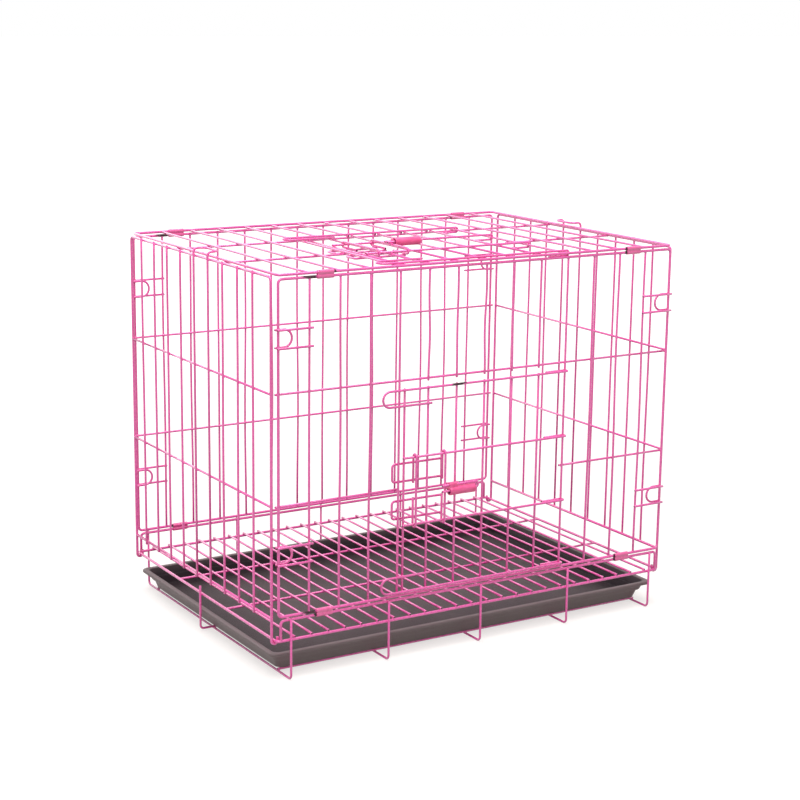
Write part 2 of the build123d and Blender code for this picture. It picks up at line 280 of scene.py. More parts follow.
# what is made of a grain: the range read from it, then the range put out
ranges = {
    "coatDrift": (0.36, 0.66, 0.0, 0.6), "coatRuns": (0.42, 0.72, 0.0, 0.55),
    "coatHaze": (0.3, 0.7, -0.06, 0.10), "scuffLines": (0.62, 0.72, 0.0, 1.0),
    "bareRust": (0.4, 0.62, 0.0, 1.0), "bareHaze": (0.3, 0.7, 0.42, 0.68),
    "gripCloud": (0.35, 0.7, 0.0, 1.0), "gripHaze": (0.3, 0.7, 0.27, 0.42),
    "trayMottle": (0.35, 0.68, 0.0, 0.4),
}


def grain(tree, place, name):
    made = node(tree, "ShaderNodeTexNoise")
    for key, value in zip(("Scale", "Detail", "Roughness"), grains[name]):
        made.inputs[key].default_value = value
    tree.links.new(place, made.inputs["Vector"])
    return made.outputs["Fac"]


def pattern(tree, place, name):
    return spread(tree, grain(tree, place, name), *ranges[name])


def powderGroup():
    # powder coat: broad drift of shade, small runs of thick and thin coat, haze and orange peel
    tree, given, made = newGroup(
        "powderCoat",
        [("Position", "NodeSocketVector", None), ("Light", "NodeSocketColor", (0.9, 0.1, 0.4, 1)),
         ("Deep", "NodeSocketColor", (0.6, 0.03, 0.22, 1)), ("Gloss", "NodeSocketFloat", 0.25)],
        [("Colour", "NodeSocketColor"), ("Roughness", "NodeSocketFloat"), ("Height", "NodeSocketFloat")])
    place = given["Position"]
    thick = mathNode(tree, "MAXIMUM", pattern(tree, place, "coatDrift"), pattern(tree, place, "coatRuns"))
    tree.links.new(mixColours(tree, thick, given["Light"], given["Deep"]), made["Colour"])
    hazy = mathNode(tree, "ADD", given["Gloss"], pattern(tree, place, "coatHaze"))
    tree.links.new(hazy, made["Roughness"])
    tree.links.new(grain(tree, place, "coatPeel"), made["Height"])
    return tree


def scuffGroup():
    # scuffs: thin dry scratches along the piece that lift the roughness and grey the colour
    tree, given, made = newGroup(
        "scuffs",
        [("Position", "NodeSocketVector", None), ("Amount", "NodeSocketFloat", 0.5)],
        [("Mask", "NodeSocketFloat"), ("Height", "NodeSocketFloat")])
    stretch = node(tree, "ShaderNodeMapping")
    stretch.inputs["Scale"].default_value = finishes["scuffStretch"]
    tree.links.new(given["Position"], stretch.inputs["Vector"])
    lines = pattern(tree, stretch.outputs[0], "scuffLines")
    tree.links.new(mathNode(tree, "MULTIPLY", lines, given["Amount"]), made["Mask"])
    tree.links.new(grain(tree, given["Position"], "trayGrain"), made["Height"])
    return tree


def newMaterial(name, values):
    # values go by the names of the shader's inputs
    material = bpy.data.materials.new(name)
    material.use_nodes = True
    tree = material.node_tree
    inputs = tree.nodes["Principled BSDF"].inputs
    for key, value in values.items():
        inputs[key].default_value = value
    place = node(tree, "ShaderNodeTexCoord").outputs["Object"]
    return material, tree, inputs, place


def addBump(tree, inputs, height, strength, distance):
    bump = node(tree, "ShaderNodeBump")
    bump.inputs["Strength"].default_value = strength
    bump.inputs["Distance"].default_value = distance
    tree.links.new(height, bump.inputs["Height"])
    tree.links.new(bump.outputs[0], inputs["Normal"])


def shadeFrom(tree, low, high, outLow, outHigh):
    # the piece's own shade attribute, changed into a mixing share
    shade = node(tree, "ShaderNodeAttribute", attribute_name="shade")
    return spread(tree, shade.outputs["Fac"], low, high, outLow, outHigh)


def placeGroup(tree, group, place, values):
    made = node(tree, "ShaderNodeGroup", node_tree=group)
    tree.links.new(place, made.inputs["Position"])
    for key, value in values.items():
        made.inputs[key].default_value = value
    return made.outputs


# finishes

finishes = {
    "wireLight": (0.93, 0.10, 0.455, 1), "wireDeep": (0.73, 0.045, 0.30, 1),
    "wireGloss": 0.24, "wirePeel": 0.25,
    "weldLight": (0.90, 0.14, 0.47, 1), "weldDeep": (0.72, 0.07, 0.33, 1),
    "weldGloss": 0.22, "weldPeel": 0.45,
    "clipLight": (0.90, 0.11, 0.37, 1), "clipDeep": (0.74, 0.05, 0.26, 1),
    "clipGloss": 0.20, "clipPeel": 0.35,
    "gripPale": (0.93, 0.13, 0.35, 1), "gripDeep": (0.85, 0.075, 0.26, 1),
    # the grip's dark mouth colour is painted shade
    "gripMouthShade": (0.10, 0.008, 0.022, 1), "gripGlow": (0.004, 0.0012, 0.0018),
    "bareDark": (0.035, 0.026, 0.030, 1), "bareWarm": (0.12, 0.055, 0.07, 1),
    "trayDark": (0.072, 0.055, 0.058, 1), "trayWorn": (0.130, 0.104, 0.106, 1),
    # the tray's near-black inner-wall colour is painted shade, and its pale edge colour is painted light
    "trayPaintedShade": (0.010, 0.005, 0.008, 1), "trayPaintedLight": (0.42, 0.34, 0.34, 1),
    "scuffAmount": 0.55, "scuffRough": (0.46, 0.66), "scuffStretch": (6.0, 90.0, 60.0),
    "mouthShadeShare": 0.95, "paintedShadeShare": 0.92, "paintedLightShare": 0.55,  # how far the shade attribute takes over: painted shade in the grip's mouth and on the tray's inner walls, painted light on the tray's rim and outer walls
}
powder = powderGroup()
scuffs = scuffGroup()


def coatMaterial(piece):
    # powder coat of a piece's own pinks under a clear gloss
    material, tree, inputs, place = newMaterial(
        piece + "Coat", {"Coat Weight": 1.0, "Coat Roughness": 0.18, "Specular IOR Level": 0.6})
    coat = placeGroup(tree, powder, place, {key: finishes[piece + key] for key in ("Light", "Deep", "Gloss")})
    tree.links.new(coat["Colour"], inputs["Base Color"])
    tree.links.new(coat["Roughness"], inputs["Roughness"])
    addBump(tree, inputs, coat["Height"], strength=finishes[piece + "Peel"], distance=0.0003)
    return material


def bareMaterial():
    # bare steel where wire was cut or the coat has rubbed off
    material, tree, inputs, place = newMaterial("bareSteel", {"Metallic": 0.75})
    rust = pattern(tree, place, "bareRust")
    colour = mixColours(tree, rust, finishes["bareDark"], finishes["bareWarm"])
    tree.links.new(colour, inputs["Base Color"])
    tree.links.new(pattern(tree, place, "bareHaze"), inputs["Roughness"])
    addBump(tree, inputs, grain(tree, place, "bareGrain"), strength=0.4, distance=0.0002)
    return material


def gripMaterial():
    # moulded pink plastic, a little cloudy, with painted shade in the mouth of its bore
    material, tree, inputs, place = newMaterial("gripPlastic", {
        "Coat Weight": 0.25, "Coat Roughness": 0.15,
        "Subsurface Weight": 0.12, "Subsurface Radius": finishes["gripGlow"]})
    pink = mixColours(tree, pattern(tree, place, "gripCloud"), finishes["gripPale"], finishes["gripDeep"])
    # painted shade: the shade attribute darkens the mouth and bore
    mouth = shadeFrom(tree, 0, 1, 0, finishes["mouthShadeShare"])
    colour = mixColours(tree, mouth, pink, finishes["gripMouthShade"])
    tree.links.new(colour, inputs["Base Color"])
    tree.links.new(pattern(tree, place, "gripHaze"), inputs["Roughness"])
    addBump(tree, inputs, grain(tree, place, "gripGrain"), strength=0.2, distance=0.0002)
    return material


def trayMaterial():
    # dark grained plastic with dry scuffs, with painted shade on the inner walls and the floor beside them,
    # and painted light along the rim and outer walls
    material, tree, inputs, place = newMaterial("trayPlastic", {"Specular IOR Level": 0.14})
    wear = placeGroup(tree, scuffs, place, {"Amount": finishes["scuffAmount"]})
    worn = mathNode(tree, "MAXIMUM", pattern(tree, place, "trayMottle"), wear["Mask"])
    grey = mixColours(tree, worn, finishes["trayDark"], finishes["trayWorn"])
    # painted shade on the inner walls and the floor beside them
    inner = shadeFrom(tree, 0, 1, 0, finishes["paintedShadeShare"])
    grey = mixColours(tree, inner, grey, finishes["trayPaintedShade"])
    # painted light on the rim and outer walls
    edge = shadeFrom(tree, -1, 0, finishes["paintedLightShare"], 0)
    grey = mixColours(tree, edge, grey, finishes["trayPaintedLight"])
    tree.links.new(grey, inputs["Base Color"])
    tree.links.new(spread(tree, wear["Mask"], 0, 1, *finishes["scuffRough"]), inputs["Roughness"])
    addBump(tree, inputs, wear["Height"], strength=0.55, distance=0.0004)
    return material


wireCoat = coatMaterial("wire")
weldCoat = coatMaterial("weld")
clipCoat = coatMaterial("clip")
bareSteel = bareMaterial()
gripPlastic = gripMaterial()
trayPlastic = trayMaterial()
print("materials made")


# wires and welds

weld = {"radius": 1.75, "doorRadius": 1.7, "sizes": 0.14, "uneven": 0.14, "pole": 0.12}


def wirePiece(name, body, nodeName, paths, radius, closed=False, place=toCrate):
    surfaces = [sweepWire(place(path), radius, closed) for path in paths]
    return addPiece(name, body, surfaces, [wireCoat, bareSteel], [nodeName], capMaterial=1)


def blobs(points, radii, rows=7, columns=10):
    # small balls: centre + r (sin b cos a, sin b sin a, cos b), each a little out of round,
    # with a small flat face at each pole
    b = np.linspace(np.pi - weld["pole"], weld["pole"], rows)[:, None]
    a = around(columns)[None, :]
    ball = np.stack([np.sin(b) * np.cos(a), np.sin(b) * np.sin(a), np.cos(b) + 0 * a], -1)
    uneven = 1 + weld["uneven"] * (dice.random((len(points), 1, 1, 3)) - 0.5)
    verts = points[:, None, None, :] + radii[:, None, None, None] * uneven * ball
    starts = (np.arange(len(points)) * rows * columns)[:, None, None]
    quads = gridQuads(rows, columns) + starts
    caps = np.array(endCaps(rows, columns)) + starts
    return verts.reshape(-1, 3), quads.reshape(-1, 4), caps.reshape(-1, columns).tolist()


def weldPiece(name, body, points, radius=weld["radius"]):
    radii = radius * (1 + weld["sizes"] * (dice.random(len(points)) - 0.5))
    return addPiece(name, body, [blobs(points, radii)], [weldCoat], smoothCaps=True)


def grid(xs, ys, zs):
    # every combination of the three lists, as points
    lists = [np.atleast_1d(values) for values in (xs, ys, zs)]
    return np.stack(np.meshgrid(*lists, indexing="ij"), -1).reshape(-1, 3)


# base: floor, rails, legs, ground wires

base = {
    "floorOverhang": 2.0, "floorCorner": 5.0, "barLap": 1.5, "railEndInset": 3.0,
    "legs": 5, "legEndInset": 15.5, "legBend": 6.0, "groundInset": 30.0,
    "stopRise": 12.0, "stopFoot": 28.0, "stopBend": 5.0, "barBow": 0.35,
}
floorHalf = halfLength + base["floorOverhang"]
floorX = np.linspace(-floorHalf, floorHalf, crate["floorBars"] + 2)[1:-1]
thirds = [-halfDepth / 3, halfDepth / 3]
crossEnd = floorHalf - frameR
crossZ = floorZ + lap - 2 * barR  # cross wires lie under the floor bars
railEnd = halfLength - base["railEndInset"]
legY = halfDepth + lap
legX = np.linspace(-1, 1, base["legs"]) * (halfLength - base["legEndInset"])
legTop = railZ + frameR
groundY = halfDepth - base["groundInset"]
groundZ = 3 * barR  # ground wires lie on the legs' ground runs
groundEnd = legX[-1] + base["barLap"]
stopX = floorHalf + lap


def floorFrame():
    corners = [(-floorHalf, -halfDepth, floorZ), (-floorHalf, halfDepth, floorZ),
               (floorHalf, halfDepth, floorZ), (floorHalf, -halfDepth, floorZ)]
    return roundedPath(corners, base["floorCorner"], closed=True)


def floorBar(x):
    end = halfDepth + base["barLap"]
    amount = base["barBow"] * (dice.random() - 0.5)
    return bowed((x, -end, floorZ + lap), (x, end, floorZ + lap), (1, 0, 0), amount)


def rail(y):
    low = floorZ + frameR
    corners = [(-railEnd, y, low), (-railEnd, y, railZ), (railEnd, y, railZ), (railEnd, y, low)]
    return roundedPath(corners, crate["frameBend"])


def leg(x):
    corners = [(x, -legY, legTop), (x, -legY, barR), (x, legY, barR), (x, legY, legTop)]
    return roundedPath(corners, base["legBend"])


def trayStop():
    corners = [(-stopX, 0, floorZ + base["stopRise"]), (-stopX, 0, groundZ),
               (-stopX + base["stopFoot"], 0, groundZ)]
    return roundedPath(corners, base["stopBend"])


def baseWelds():
    # where floor bars, legs, ground wires, rails, cross wires and the stop wire are joined
    legSide = halfDepth + frameR
    return np.concatenate([
        grid(floorX, [-halfDepth, *thirds, halfDepth], floorZ + frameR),
        grid(legX, [-legSide, legSide], [floorZ, railZ]),
        grid(legX, [-groundY, groundY], 2 * barR),
        grid([-railEnd, railEnd], [-halfDepth, halfDepth], floorZ + frameR),
        grid([-crossEnd, crossEnd], thirds, crossZ),
        [(-floorHalf - frameR, 0, floorZ), (legX[0], 0, 2 * barR)]])


wirePiece("floorFrame", "base", "floor_frame", [floorFrame()], frameR, closed=True)
wirePiece("floorBars", "base", "floor_bars", [floorBar(x) for x in floorX], barR)
wirePiece("floorCrossWires", "base", "floor_cross_wires",
          [straight((-crossEnd, y, crossZ), (crossEnd, y, crossZ)) for y in thirds], barR)
wirePiece("frontRail", "base", "front_rail", [rail(-halfDepth)], frameR)
wirePiece("backRail", "base", "back_rail", [rail(halfDepth)], frameR)
wirePiece("legWires", "base", "leg_wires", [leg(x) for x in legX], barR)
for name, nodeName, y in (("frontGroundWire", "front_ground_wire", -groundY),
                          ("backGroundWire", "back_ground_wire", groundY)):
    run = straight((-groundEnd, y, groundZ), (groundEnd, y, groundZ))
    wirePiece(name, "base", nodeName, [run], barR)
wirePiece("trayStopWire", "base", "tray_stop_wire", [trayStop()], barR)
weldPiece("baseWelds", "base", baseWelds())
print("base made")


# front, back and roof panels

panel = {
    "hookHeights": (77.0, 343.0), "hookSpread": 22.2, "hookEnd": 4.0,
    "loopHalf": 10.7, "loopReach": 20.0, "doorFirst": 4, "doorLast": 10,
    "doorRise": 5.0, "doorHeight": 260.0, "doorTopGap": 11.0, "barBow": 1.5,
    "weldSink": 0.2,  # how far the hook bars' inner welds sink into their bars
}
doorwayTop = panel["doorRise"] + panel["doorHeight"] + panel["doorTopGap"]
crossLevels = np.array([doorwayTop / 2, doorwayTop])
firstX = barX[panel["doorFirst"]]
hingeX = barX[panel["doorLast"]]
hookLevels = [h + s * panel["hookSpread"] / 2 for h in panel["hookHeights"] for s in (-1, 1)]


def panelFrame(height):
    corners = [(-halfLength, 0, 0), (-halfLength, 0, height), (halfLength, 0, height), (halfLength, 0, 0)]
    return roundedPath(corners, crate["frameBend"], closed=True)


def barBows(hasDoor):
    # side bow of every bar of a panel: none on the posts and on the bars beside a door
    bows = panel["barBow"] * dice.uniform(-1, 1, crate["longBars"])
    bows[[0, -1]] = 0
    if hasDoor:
        bows[[panel["doorFirst"], panel["doorLast"]]] = 0
    return bows


def overDoor(hasDoor):
    number = np.arange(crate["longBars"])
    return hasDoor & (number > panel["doorFirst"]) & (number < panel["doorLast"])


def panelBars(height, hasDoor, bows):
    low = np.where(overDoor(hasDoor), doorwayTop - barR - base["barLap"], frameR)
    top = height - frameR
    return [bowed((barX[k], barPlane, low[k]), (barX[k], barPlane, top), (1, 0, 0), bows[k])
            for k in range(1, crate["longBars"] - 1)]


def crossWires(hasDoor):
    end = halfLength + crate["wireEnd"]
    past = crate["wireEnd"]
    low, high = crossLevels
    spans = [(-end, firstX + past), (hingeX - past, end)] if hasDoor else [(-end, end)]
    wires = [straight((-end, lap, high), (end, lap, high))]
    return wires + [straight((start, lap, low), (stop, lap, low)) for start, stop in spans]


def panelWelds(height, hasDoor, bows):
    # where bars meet the frame and the cross wires
    whole = ~overDoor(hasDoor)
    low, high = (crossLevels - frameR) / (height - 2 * frameR)
    upper = barX + np.where(whole, bow(high, bows), 0)
    lower = (barX + bow(low, bows))[whole]
    return np.concatenate([
        grid(barX[whole][1:-1], barPlane, frameR), grid(barX[1:-1], barPlane, height - frameR),
        grid(upper, frameR, crossLevels[1]), grid(lower, frameR, crossLevels[0])])


def hookBars():
    bars = []
    for side in (-1, 1):
        out = side * (halfLength + crate["wireEnd"])
        inner = side * (halfLength - barPitch - panel["hookEnd"])
        bars += [straight((out, -lap, z), (inner, -lap, z)) for z in hookLevels]
    return bars


def cornerLoops():
    loops = []
    for side in (-1, 1):
        out = side * (halfLength + crate["wireEnd"])
        tip = side * (halfLength - panel["loopReach"])
        for centre in panel["hookHeights"]:
            low = centre - panel["loopHalf"]
            high = centre + panel["loopHalf"]
            corners = [(out, lap, low), (tip, lap, low), (tip, lap, high), (out, lap, high)]
            loops.append(roundedPath(corners, panel["loopHalf"], steps=11))
    return loops


def hookWelds():
    welds = []
    for side in (-1, 1):
        post = side * halfLength
        welds.append(grid(post, -frameR, hookLevels))
        welds.append(grid(side * (halfLength - barPitch), -frameR + panel["weldSink"], hookLevels))
        for centre in panel["hookHeights"]:
            welds.append(grid(post, frameR, [centre - panel["loopHalf"], centre + panel["loopHalf"]]))
    return np.concatenate(welds)


for name, body, place, height, hasDoor in (
        ("front", "front_panel", toFront, crate["panelHeight"], True),
        ("back", "back_panel", toBack, crate["panelHeight"], False),
        ("roof", "roof", toRoof, crate["depth"], True)):
    wirePiece(name + "Frame", body, name + "_frame", [panelFrame(height)], frameR, True, place)
    bows = barBows(hasDoor)
    bars = panelBars(height, hasDoor, bows)
    wirePiece(name + "Bars", body, name + "_bars", bars, barR, place=place)
    wirePiece(name + "CrossWires", body, name + "_cross_wires", crossWires(hasDoor), barR, place=place)
    welds = panelWelds(height, hasDoor, bows)
    if name != "roof":
        wirePiece(name + "HookBars", body, name + "_hook_bars", hookBars(), barR, place=place)
        wirePiece(name + "CornerLoops", body, name + "_corner_loops", cornerLoops(), barR, place=place)
        welds = np.concatenate([welds, hookWelds()])
    weldPiece(name + "Welds", body, place(welds))
print("front, back and roof made")


# side panels: the right one is the left one turned about the upright axis

sides = {
    "inset": 7.0, "topDrop": 3.0, "bottomDrop": 3.0, "barOverhang": 3.0, "hingeTail": 5.0,
    "hookBar": 4, "hookRise": 6.5, "hookRun": 1.0, "hookBend": 5.0, "hookCorner": 10.0, "barBow": 1.8,
}
hingeBend = crate["frameWire"] + crate["looseGap"]
sideX = floorHalf + hingeBend
sideHalf = halfDepth - sides["inset"]
sideEnd = sideHalf - frameR
sideBarX = sideX + lap
sideCrossX = -sideBarX + 2 * barR
sidePitch = 2 * sideHalf / (crate["sideBars"] - 1)
sideY = -sideHalf + sidePitch * np.arange(crate["sideBars"])
sideTop = roofZ - sides["topDrop"]
sideBottom = pivotZ - sides["bottomDrop"]
sideLevels = pivotZ + crossLevels
hookPair = (sides["hookBar"], sides["hookBar"] + 1)


def sideFrame():
    inner = -floorHalf + hingeBend
    low = floorZ - hingeBend
    tail = floorZ + sides["hingeTail"]
    near = [(inner, -sideHalf, tail), (inner, -sideHalf, low),
            (-sideX, -sideHalf, low), (-sideX, -sideHalf, sideTop)]
    far = [(x, -y, z) for x, y, z in near[::-1]]
    bends = [hingeBend, hingeBend, crate["frameBend"], crate["frameBend"], hingeBend, hingeBend]
    bottom = straight((-sideX, -sideEnd, sideBottom), (-sideX, sideEnd, sideBottom))
    return [roundedPath(near + far, bends), bottom]


def sideBars():
    low = sideBottom - sides["barOverhang"]
    high = sideTop + sides["barOverhang"]
    bars = []
    for k in range(1, crate["sideBars"] - 1):
        if k not in hookPair:
            amount = sides["barBow"] * (dice.random() - 0.5)
            bars.append(bowed((-sideBarX, sideY[k], low), (-sideBarX, sideY[k], high), (0, 1, 0), amount))
    return bars


def sideTopHook():
    front, back = sideY[list(hookPair)]
    low = sideBottom - sides["barOverhang"]
    over = roofZ + sides["hookRise"]
    inner = -sideBarX + sides["hookBend"] + sides["hookRun"] + sides["hookCorner"]
    near = [(-sideBarX, front, low), (-sideBarX, front, over), (inner, front, over)]
    far = [(x, back, z) for x, y, z in near[::-1]]
    bends = [sides["hookBend"], sides["hookCorner"], sides["hookCorner"], sides["hookBend"]]
    return roundedPath(near + far, bends, steps=11)


def sideCrossWires():
    return [straight((sideCrossX, -sideEnd, z), (sideCrossX, sideEnd, z)) for z in sideLevels]


def sideWelds():
    inner = sideY[1:-1]
    ends = [-sideEnd, sideEnd]
    return np.concatenate([
        grid(-sideX - frameR, inner, [sideBottom, sideTop]), grid(-sideBarX + barR, inner, sideLevels),
        grid(sideCrossX, ends, sideLevels), grid(-sideX, ends, sideBottom)])


for name, place in (("left", toCrate), ("right", turned)):
    body = name + "_panel"
    wirePiece(name + "Frame", body, name + "_frame", sideFrame(), frameR, place=place)
    wirePiece(name + "Bars", body, name + "_bars", sideBars(), barR, place=place)
    wirePiece(name + "TopHook", body, name + "_top_hook", [sideTopHook()], barR, place=place)
    wirePiece(name + "CrossWires", body, name + "_cross_wires", sideCrossWires(), barR, place=place)
    weldPiece(name + "Welds", body, place(sideWelds()))
print("sides made")


# doors, in the panel's own frame

door = {
    "wires": 4, "edgeGap": 7.5, "endLap": 3.0, "hookTail": 28.0,
    "tongueReach": 25.0, "tongueBend": 10.0, "tongueReturn": 46.0,
}
hookBend = 2 * barR + crate["runningGap"]
crossPlane = barPlane - hookBend
doorBarPlane = crossPlane + 2 * barR
levels = np.linspace(panel["doorRise"], panel["doorRise"] + panel["doorHeight"], door["wires"])
doorX = np.r_[firstX + door["edgeGap"], barX[panel["doorFirst"] + 1:panel["doorLast"]]]
tongueLevels = [levels[0] + 2 * door["tongueBend"], levels[-1] - 2 * door["tongueBend"]]


def doorBars():
    low = levels[0] - barR
    high = levels[-1] + barR
    return [straight((x, doorBarPlane, low), (x, doorBarPlane, high)) for x in doorX]


def doorCrossWire(z, back=None):
    # from the free edge to the hook round the hinge bar; the outer wires start with a tongue that turns back
    inside = barPlane + hookBend
    tip = firstX - door["tongueReach"]
    start = [(firstX + door["edgeGap"] - door["endLap"], crossPlane, z)]
    bends = [hookBend, hookBend]
    if back is not None:
        end = firstX + door["tongueReturn"]
        start = [(end, crossPlane, back), (tip, crossPlane, back), (tip, crossPlane, z)]
        bends = [door["tongueBend"], door["tongueBend"]] + bends
    hook = [(hingeX + hookBend, crossPlane, z), (hingeX + hookBend, inside, z),
            (hingeX - door["hookTail"], inside, z)]
    return roundedPath(start + hook, bends, steps=9)


def doorCrossWires():
    plain = [doorCrossWire(z) for z in levels[1:-1]]
    return [doorCrossWire(levels[0], tongueLevels[0])] + plain + [doorCrossWire(levels[-1], tongueLevels[1])]


def doorWelds():
    plane = crossPlane + barR
    return np.concatenate([grid(doorX, plane, levels), grid(doorX[:2], plane, tongueLevels)])


# latches: two slider wires round the door's inner cross wires, two bolts, a handle wire and its grip

latch = {
    "sliders": (22.0, 65.0), "tail": 34.0,
    "boltReach": 7.0, "boltDrop": 8.0, "boltSpread": 23.0, "boltBend": 4.0, "boltEnd": 3.0,
    "handleLap": 6.0, "handleDrop": 5.0, "clearance": 0.5, "overrun": 2.0,
}
grip = {
    "gap": 4.0, "length": 38.0, "diameter": 11.4, "boreGap": 0.2,
    "mouth": 7.6, "mouthDepth": 6.0, "mouthRound": 0.5, "mouthBevel": 0.6,
    "endRound": 0.9, "waist": 0.12, "waistInset": 3.0,
    "darkFrom": 0.45, "darkWidth": 0.3,  # painted shade in the mouth fades in over this width, from this far outside it
    "tabLength": 11.0, "tabWidth": 6.4, "tabDrop": 0.55,
    "tabEdge": (0.0, 0.15, 0.5, 1.0), "tabPull": (0.8, 0.4, 0.12, 0.0),
}
boltPlane = barPlane + 2 * barR + crate["runningGap"]
tailPlane = boltPlane - 2 * barR
sliderBend = tailPlane - crossPlane
mainPlane = crossPlane - sliderBend
handlePlane = mainPlane - 2 * barR
lowLevel, highLevel = levels[1:-1]
handleLevel = (lowLevel + highLevel) / 2 - latch["handleDrop"]
handleBend = (grip["diameter"] / 2 + latch["clearance"] + barR) / 2
handleTop = handleLevel + 2 * handleBend
sliderX = [firstX + along for along in latch["sliders"]]
gripX = sliderX[-1] + grip["gap"]
boltLegs = np.array([latch["boltDrop"], latch["boltDrop"] + latch["boltSpread"]])
boltLevels = np.array([highLevel - boltLegs, lowLevel + boltLegs])


def latchSlider(x):
    up = highLevel + sliderBend
    down = lowLevel - sliderBend
    corners = [(x, tailPlane, highLevel - latch["tail"]), (x, tailPlane, up), (x, mainPlane, up),
               (x, mainPlane, down), (x, tailPlane, down), (x, tailPlane, lowLevel + latch["tail"])]
    return roundedPath(corners, sliderBend, steps=9)


def latchBolt(first, second):
    right = sliderX[-1] + latch["boltEnd"]
    left = firstX - latch["boltReach"]
    corners = [(right, boltPlane, first), (left, boltPlane, first),
               (left, boltPlane, second), (right, boltPlane, second)]
    return roundedPath(corners, latch["boltBend"], steps=10)


def latchHandle():
    start = sliderX[-1] - latch["handleLap"]
    end = gripX + grip["length"] + latch["overrun"] + handleBend
    corners = [(start, handlePlane, handleTop), (end, handlePlane, handleTop),
               (end, handlePlane, handleLevel), (start, handlePlane, handleLevel)]
    return roundedPath(corners, handleBend, steps=9)


def latchWelds():
    return np.concatenate([
        grid(sliderX, tailPlane + barR, boltLevels.ravel()),
        grid(sliderX[-1], mainPlane - barR, [handleLevel, handleTop])])


def gripTube(columns=40):
    # a line of (distance along, radius) turned about the handle wire:
    # bore, opened mouth, rounded end and barrel, then the same mirrored back to the bore
    length = grip["length"]
    outer = grip["diameter"] / 2
    mouth = grip["mouth"] / 2
    deep = grip["mouthDepth"]
    bevel = grip["mouthBevel"]
    t = np.linspace(0, np.pi / 2, 6)
    end = grip["endRound"] * np.stack([1 - np.sin(t), np.cos(t) - 1], 1) + [0, outer]
    lip = grip["mouthRound"] * np.stack([1 - np.cos(t), 1 - np.sin(t)], 1) + [0, mouth]
    seat = [(deep - bevel, mouth), (deep, mouth - bevel), (deep, barR + grip["boreGap"])]
    half = np.concatenate([end, lip, seat])
    s = np.linspace(0, 1, 12)
    waist = outer - grip["waist"] * np.sin(np.pi * s)
    barrel = np.stack([grip["waistInset"] + (length - 2 * grip["waistInset"]) * s, waist], 1)
    line = np.concatenate([half[::-1], barrel, half * [-1, 1] + [length, 0]])
    a = around(columns)
    radius = line[:, 1:]
    verts = np.stack([gripX + line[:, :1] + 0 * a, handlePlane + radius * np.cos(a),
                      handleLevel + radius * np.sin(a)], -1)
    # painted shade: one inside the mouth and bore, fading to zero just outside the mouth
    inside = np.clip((mouth + grip["darkFrom"] - line[:, 1]) / grip["darkWidth"], 0, 1)
    quads = gridQuads(len(line), columns, rowsClosed=True)
    return verts.reshape(-1, 3), quads, [], np.repeat(inside, columns)


def softEnds(length, edge, pull, middle=()):
    # places along a piece and how far its surface is drawn in there, the same at both ends
    along = np.r_[edge, middle, length - np.array(edge)[::-1]]
    drawn = np.r_[pull, np.zeros(len(middle)), pull[::-1]]
    return along, drawn


def gripTab(columns=36):
    # a rounded strap round the upper wire: stadium outline, drawn in at both ends, with a wire hole
    length = grip["tabLength"]
    along, drawn = softEnds(length, grip["tabEdge"], grip["tabPull"])
    hole = barR + grip["boreGap"]
    radius = np.r_[grip["tabWidth"] / 2 - drawn, hole, hole][:, None]
    isStrap = np.r_[np.ones(len(along)), 0, 0][:, None]
    along = np.r_[along, length, 0][:, None]
    a = around(columns)
    reach = grip["tabDrop"] * (handleTop - handleLevel)
    z = handleTop + radius * np.cos(a) - isStrap * np.where(np.cos(a) < 0, reach, 0)
    verts = np.stack([gripX + along + 0 * a, handlePlane + radius * np.sin(a), z], -1)
    quads = gridQuads(len(along), columns, rowsClosed=True)[:, ::-1]
    return verts.reshape(-1, 3), quads, [], np.zeros(z.size)


def placed(surface, place):
    return place(surface[0]), *surface[1:]


for name, place in (("front", toFront), ("roof", toRoof)):
    body = name + "_door"
    wirePiece(name + "DoorBars", body, name + "_door_bars", doorBars(), barR, place=place)
    wirePiece(name + "DoorCrossWires", body, name + "_door_cross_wires", doorCrossWires(), barR, place=place)
    weldPiece(name + "DoorWelds", body, place(doorWelds()), weld["doorRadius"])
    body = name + "_latch"
    sliders = [latchSlider(x) for x in sliderX]
    bolts = [latchBolt(*pair) for pair in boltLevels]
    wirePiece(name + "LatchSlider", body, name + "_latch_slider", sliders, barR, place=place)
    wirePiece(name + "LatchBolts", body, name + "_latch_bolts", bolts, barR, place=place)
    wirePiece(name + "LatchHandle", body, name + "_latch_handle", [latchHandle()], barR, place=place)
    weldPiece(name + "LatchWelds", body, place(latchWelds()), weld["doorRadius"])
    surfaces = [placed(gripTube(), place), placed(gripTab(), place)]
    addPiece(name + "LatchGrip", body, surfaces, [gripPlastic], [name + "_latch_grip"])
print("doors and latches made")


# clips: a strip of sheet steel rolled round two wires and pinched between them

clip = {
    "length": 22.0, "wall": 0.8, "inset": 63.0, "wrap": 0.62, "pinch": 0.3,
    "edge": (0.0, 0.12, 0.35, 1.2), "pull": (0.35, 0.12, 0.0, 0.0),
}
clipX = halfLength - clip["inset"]


def clipOutline(radius, lobe=17):
    # round the upper wire from below one flank to below the other, in to the waist,
    # and the same turned for the lower wire
    t = np.linspace(-clip["wrap"], np.pi + clip["wrap"], lobe)
    upper = radius * np.stack([np.cos(t), np.sin(t)], 1) + [0, crate["pivotGap"] / 2]
    waist = np.array([[radius * math.cos(clip["wrap"]) - clip["pinch"], 0]])
    return np.concatenate([upper, -waist, -upper, waist])


